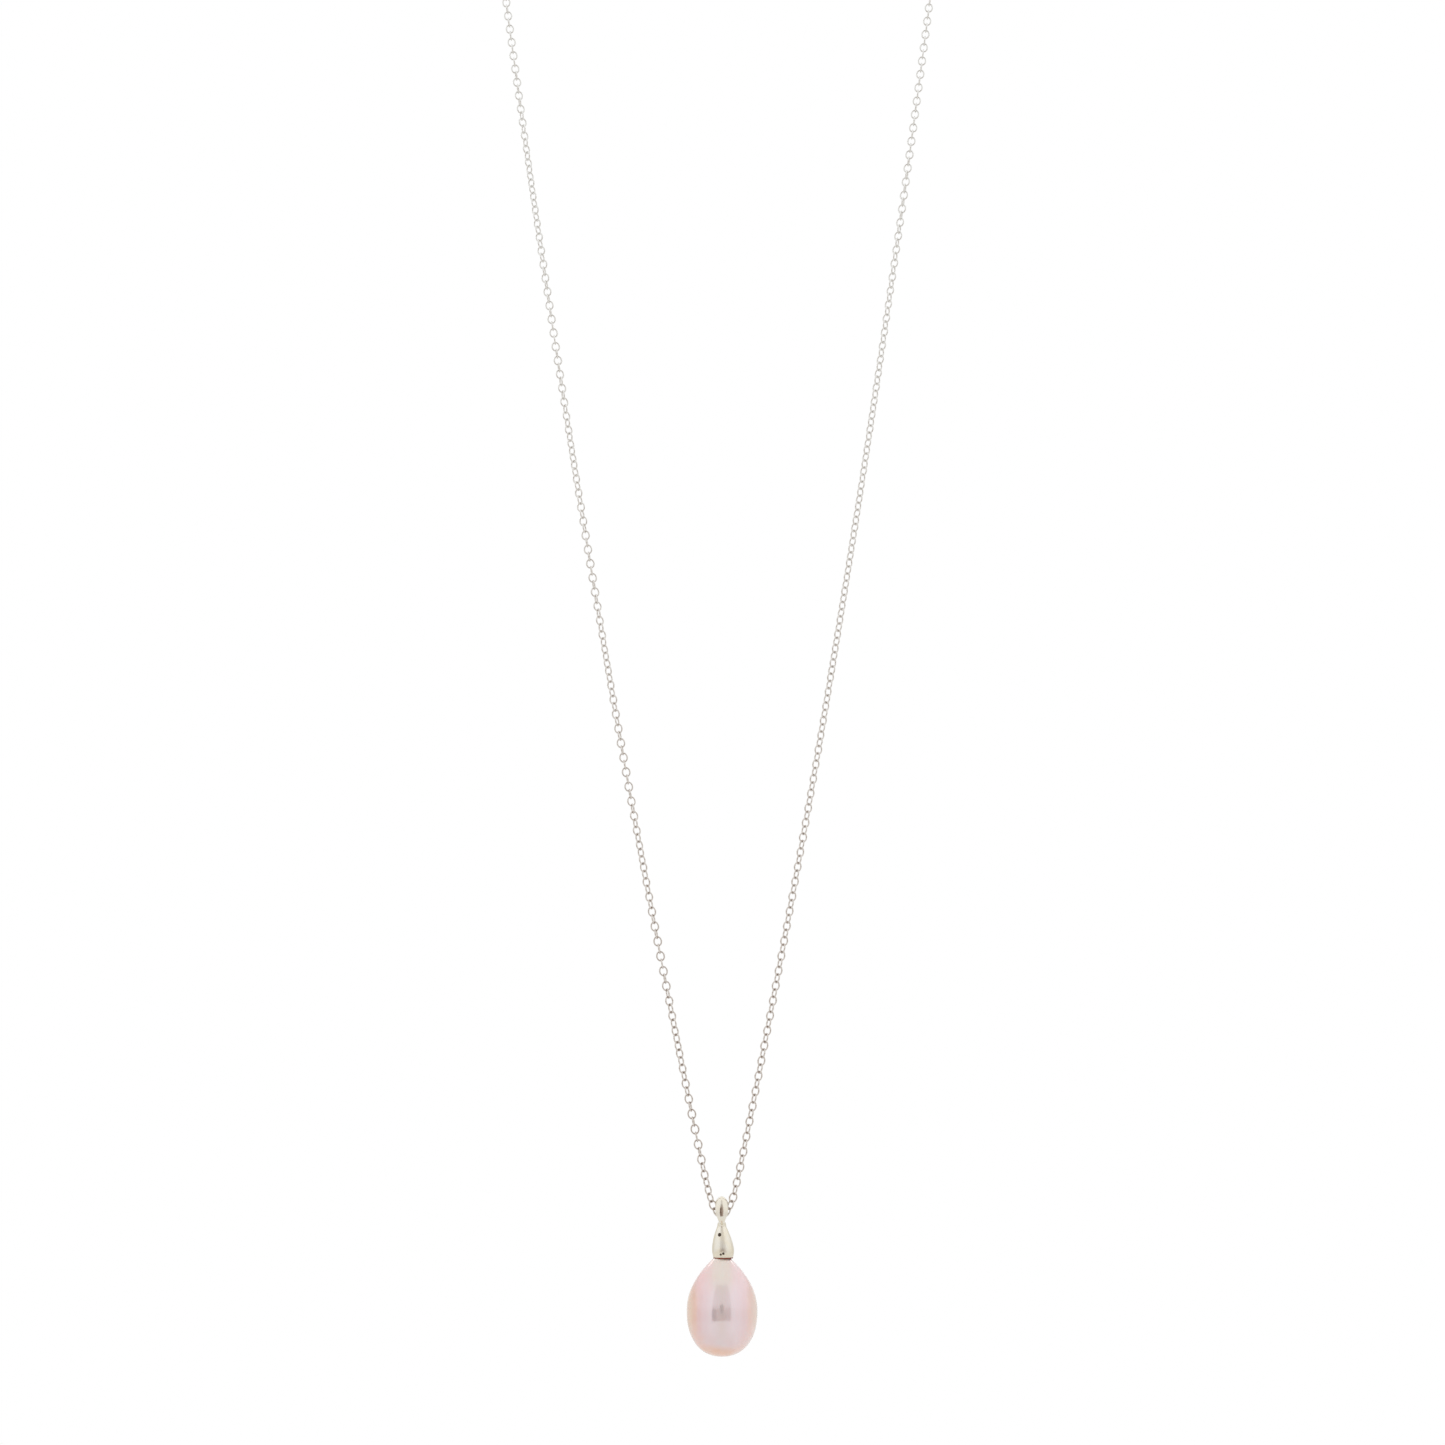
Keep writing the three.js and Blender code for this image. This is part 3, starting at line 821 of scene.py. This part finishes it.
def bezier_outline(start, pieces, steps=12):
    """A closed outline: pieces are (control, control, end), or (end,) for a straight run."""
    points = [np.array(start, float)]
    for piece in pieces:
        a = points[-1]
        if len(piece) == 1:
            points.append(np.array(piece[0], float))
            continue
        b, c, d = (np.array(p, float) for p in piece)
        for t in np.arange(1, steps + 1) / steps:
            s = 1 - t
            points.append(a * s ** 3 + 3 * b * t * s ** 2 + 3 * c * t ** 2 * s + d * t ** 3)
    return np.array(points)


def outline_distance(x, y, outline):
    """Signed distance from points to a closed outline, negative inside."""
    nearest = np.full(x.shape, np.inf)
    inside = np.zeros(x.shape, bool)
    for (ax, ay), (bx, by) in zip(outline, np.roll(outline, -1, axis=0)):
        dx, dy = bx - ax, by - ay
        length = dx * dx + dy * dy
        if length < 1e-12:
            continue
        share = np.clip(((x - ax) * dx + (y - ay) * dy) / length, 0, 1)
        nearest = np.minimum(nearest, np.hypot(x - ax - share * dx, y - ay - share * dy))
        if dy != 0:
            crosses = ((ay > y) != (by > y)) & (x < (y - ay) * dx / dy + ax)
            inside ^= crosses
    return np.where(inside, -nearest, nearest)


def pillow(flat, z, half_thickness, edge):
    """A plate of that outline distance, with its edges rounded to that radius."""
    a = flat + edge
    b = np.abs(z) - half_thickness + edge
    return np.minimum(np.maximum(a, b), 0) + np.hypot(np.maximum(a, 0), np.maximum(b, 0)) - edge


def box_field(x, y, z, box, half_thickness):
    """A plain box from its x and y ranges, centred on z = 0."""
    a = np.maximum(box["x"][0] - x, x - box["x"][1])
    b = np.maximum(box["y"][0] - y, y - box["y"][1])
    return np.maximum(np.maximum(a, b), np.abs(z) - half_thickness)


CLASP_OUTLINE = bezier_outline((-2.5, -0.55), [
    ((-1.8, -1.2), (-1.2, -1.75), (-0.2, -1.85)),
    ((1.6, -2.0), (3.9, -1.5), (4.0, 0)),
    ((3.9, 1.5), (1.6, 1.9), (-0.2, 1.6)),
    ((-1.2, 1.4), (-1.8, 1.0), (-2.5, 0.55)),
])
LEVER_OUTLINE = bezier_outline((-1.45, 0.1), [
    ((-1.45, -0.85),),
    ((-1.42, -1.18), (-1.22, -1.43), (-0.85, -1.6)),
    ((-0.8, -2.1), (-0.85, -2.5), (-0.6, -2.6)),
    ((-0.35, -2.65), (-0.1, -2.3), (0.1, -1.82)),
    ((0.9, -1.9), (1.7, -1.78), (2.26, -1.58)),
    ((2.34, -1.12),),
    ((1.6, -1.3), (0.8, -1.25), (0.2, -0.8)),
    ((-0.1, -0.5), (-0.4, -0.1), (-0.9, 0.1)),
])


def clasp_field(points):
    """The clasp's hook and eye, with its mouth, the gate's gap and slot, and the pin's hole."""
    x, y, z = points.T
    body = pillow(outline_distance(x, y, CLASP_OUTLINE), z, CLASP_HALF_THICKNESS, 0.4)
    eye = pillow(np.hypot(x - EYE["x"], y) - EYE["outer"], z, EYE["half_thickness"], 0.25)
    body = united(body, eye, 0.25)
    body = cut(body, np.hypot(x - EYE["x"], y) - EYE["hole"], 0.12)
    across = np.hypot((x - MOUTH["x"]) / MOUTH["half_length"], (y - MOUTH["y"]) / MOUTH["half_width"])
    body = cut(body, (across - 1) * MOUTH["half_width"], 0.2)
    body = cut(body, box_field(x, y, z, GATE_GAP, 9), 0.08)
    body = cut(body, box_field(x, y, z, SLOT, SLOT_HALF_THICKNESS), 0.05)
    return np.maximum(body, PIVOT["hole"] - np.hypot(x - PIVOT["x"], y - PIVOT["y"]))


def lever_field(points):
    """The gate with its thumb tab and the pin's hole."""
    x, y, z = points.T
    plate = pillow(outline_distance(x, y, LEVER_OUTLINE), z, LEVER_HALF_THICKNESS, 0.12)
    return np.maximum(plate, PIVOT["hole"] - np.hypot(x - PIVOT["x"], y - PIVOT["y"]))


def at_clasp(points):
    """Moves points from the clasp's middle to where that is in the scene."""
    return np.asarray(points) + np.array([0, 0, CLASP_Z])


def make_clasp():
    points, faces = carved(clasp_field, low=(-3.8, -2.2, -0.8), high=(4.2, 2.1, 0.8), step=0.05)
    body = new_piece(
        "clasp_shell", at_clasp(points), faces, "clasp", ["clasp_body"], clasp_gold)
    sharpen(body, 50)
    points, faces = carved(lever_field, low=(-1.6, -2.8, -0.5), high=(2.5, 0.3, 0.5), step=0.04)
    lever = new_piece(
        "clasp_gate", at_clasp(points), faces, "lever", ["clasp_lever"], clasp_gold)
    sharpen(lever, 50)


def make_pin():
    """The gate's rivet, with softly domed ends."""
    dome = 0.04
    rise = [
        (PIVOT["pin"] * math.cos(a), CLASP_HALF_THICKNESS + dome * math.sin(a))
        for a in np.linspace(0, np.pi / 2, 7)
    ]
    outline = [(r, -z) for r, z in reversed(rise)] + rise
    outline[0] = (0, outline[0][1])
    outline[-1] = (0, outline[-1][1])
    points, faces = turned(outline, 40)
    points = at_clasp(points) + np.array([PIVOT["x"], PIVOT["y"], 0])
    new_piece("clasp_rivet", points, faces, "clasp", ["clasp_pin"], clasp_gold)


def make_spring():
    """The coil between the clasp's body and the gate's heel."""
    t = np.linspace(0, 1, 48 * SPRING["turns"] + 1)
    angle = 2 * np.pi * SPRING["turns"] * t
    path = np.stack([
        SPRING["x"][0] + (SPRING["x"][1] - SPRING["x"][0]) * t,
        SPRING["y"] + SPRING["radius"] * np.cos(angle),
        SPRING["radius"] * np.sin(angle),
    ], axis=1)
    points, faces = tube(path, SPRING["wire"], 10)
    piece = new_piece(
        "clasp_coil", at_clasp(points), faces, "clasp", ["clasp_spring"], spring_wire)
    sharpen(piece, 50)


def make_ring(name, x, body, node):
    """A ring of round wire, cut once at its top, as a jump ring is."""
    seam = math.radians(0.6)
    turn = np.linspace(np.pi / 2 + seam, np.pi / 2 + 2 * np.pi - seam, 121)
    path = RING["radius"] * np.stack([np.cos(turn), 0 * turn, np.sin(turn)], axis=1)
    path[:, 0] += x
    points, faces = tube(path, RING["wire"], 20)
    piece = new_piece(name, at_clasp(points), faces, body, [node], clasp_gold)
    sharpen(piece, 50)


make_clasp()
make_pin()
make_spring()
make_ring("jump_ring_wire", -RING["x"], "jump_ring", "clasp_jump_ring")
make_ring("end_ring_wire", RING["x"], "end_ring", "end_ring")

# The peg is the CAD's own solid, unseen inside the pearl
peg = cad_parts["pearl_peg"]
peg.data.materials.clear()
peg.data.materials.append(cap_gold)


# ---- stage and light ----

def make_floor():
    """A round sheet of paper well below the pearl."""
    points, faces = turned([
        (0, FLOOR_Z - 0.5), (FLOOR_RADIUS - 2, FLOOR_Z - 0.5), (FLOOR_RADIUS, FLOOR_Z), (0, FLOOR_Z),
    ], 96)
    mesh = bpy.data.meshes.new("floor")
    mesh.from_pydata((points * MM).tolist(), [], [tuple(map(int, f)) for f in faces])
    mesh.materials.append(paper())
    floor = bpy.data.objects.new("floor", mesh)
    bpy.context.scene.collection.objects.link(floor)


def make_world():
    """White to look at. The metal and nacre reflect a white tent with an opening in front."""
    world = bpy.data.worlds.new("tent")
    bpy.context.scene.world = world
    world.use_nodes = True
    g = Graph(world.node_tree)
    direction = g.add("ShaderNodeTexCoord").outputs["Generated"]
    x, y, z = g.split(direction)
    degrees = 180 / math.pi
    azimuth = g.math("MULTIPLY", g.math("ARCTAN2", x, g.math("MULTIPLY", y, -1.0)), degrees)
    elevation = g.math("MULTIPLY", g.math("ARCSINE", z), degrees)
    aside = g.math("ABSOLUTE", azimuth)

    def window(half_width, low, high, soft, about=0.0):
        """1 inside an upright opening, in degrees of azimuth and elevation, 0 outside it."""
        sideways = aside if about == 0 else g.math("ABSOLUTE", g.math("SUBTRACT", azimuth, about))
        wide = g.band(sideways, half_width + soft, half_width - soft)
        above = g.band(elevation, low - soft, low + soft)
        below = g.band(elevation, high + soft, high - soft)
        tall = g.math("MULTIPLY", above, below)
        return g.math("MULTIPLY", wide, tall)

    sky = g.ramp(g.band(z, -1.0, 1.0), [
        (0.0, (0.60, 0.55, 0.51)), (0.4, (0.82, 0.80, 0.78)),
        (0.6, (0.95, 0.95, 0.95)), (1.0, (1.0, 1.0, 1.0)),
    ])
    behind = g.math("MULTIPLY", g.band(aside, 95, 115), g.band(aside, 168, 145))
    behind = g.math("MULTIPLY", behind, g.band(elevation, 26, 14))
    sky = g.mix(behind, sky, (0.76, 0.74, 0.70, 1))
    room = g.mix(g.band(elevation, -4, 14), (0.40, 0.31, 0.27, 1), (0.72, 0.70, 0.69, 1))
    sky = g.mix(window(30, -14, 53, 2), sky, room)
    sky = g.mix(window(7.5, -18, 3, 1.5, about=-24), sky, (0.13, 0.06, 0.035, 1))
    sky = g.mix(window(5, -3, 12, 1.5), sky, (0.02, 0.02, 0.02, 1))
    tent = g.tree.nodes["Background"]
    g.feed(sky, tent.inputs["Color"])
    seen = g.add("ShaderNodeBackground")
    seen.inputs["Color"].default_value = (1, 1, 1, 1)
    choose = g.add("ShaderNodeMixShader")
    g.feed(g.add("ShaderNodeLightPath").outputs["Is Camera Ray"], choose.inputs[0])
    g.feed(tent.outputs[0], choose.inputs[1])
    g.feed(seen.outputs[0], choose.inputs[2])
    g.feed(choose.outputs[0], g.tree.nodes["World Output"].inputs["Surface"])


def make_light(name, location, target, size, power):
    """An area light turned towards its target."""
    data = bpy.data.lights.new(name, "AREA")
    data.shape = "RECTANGLE"
    data.size, data.size_y = size
    data.energy = power
    light = bpy.data.objects.new(name, data)
    light.location = location
    toward = np.subtract(target, location)
    yaw = math.atan2(toward[1], toward[0]) - math.pi / 2
    pitch_down = math.atan2(math.hypot(toward[0], toward[1]), -toward[2])
    light.rotation_euler = (pitch_down, 0, yaw)
    bpy.context.scene.collection.objects.link(light)


make_floor()
make_world()
bail_place = (0, 0, SADDLE_Z * MM)
make_light("left_back_box", (-0.25, 0.32, 0.07), bail_place, (0.045, 0.045), 0.012)
make_light("right_back_box", (0.25, 0.32, 0.07), bail_place, (0.045, 0.045), 0.012)
bpy.context.scene.view_settings.view_transform = "Standard"
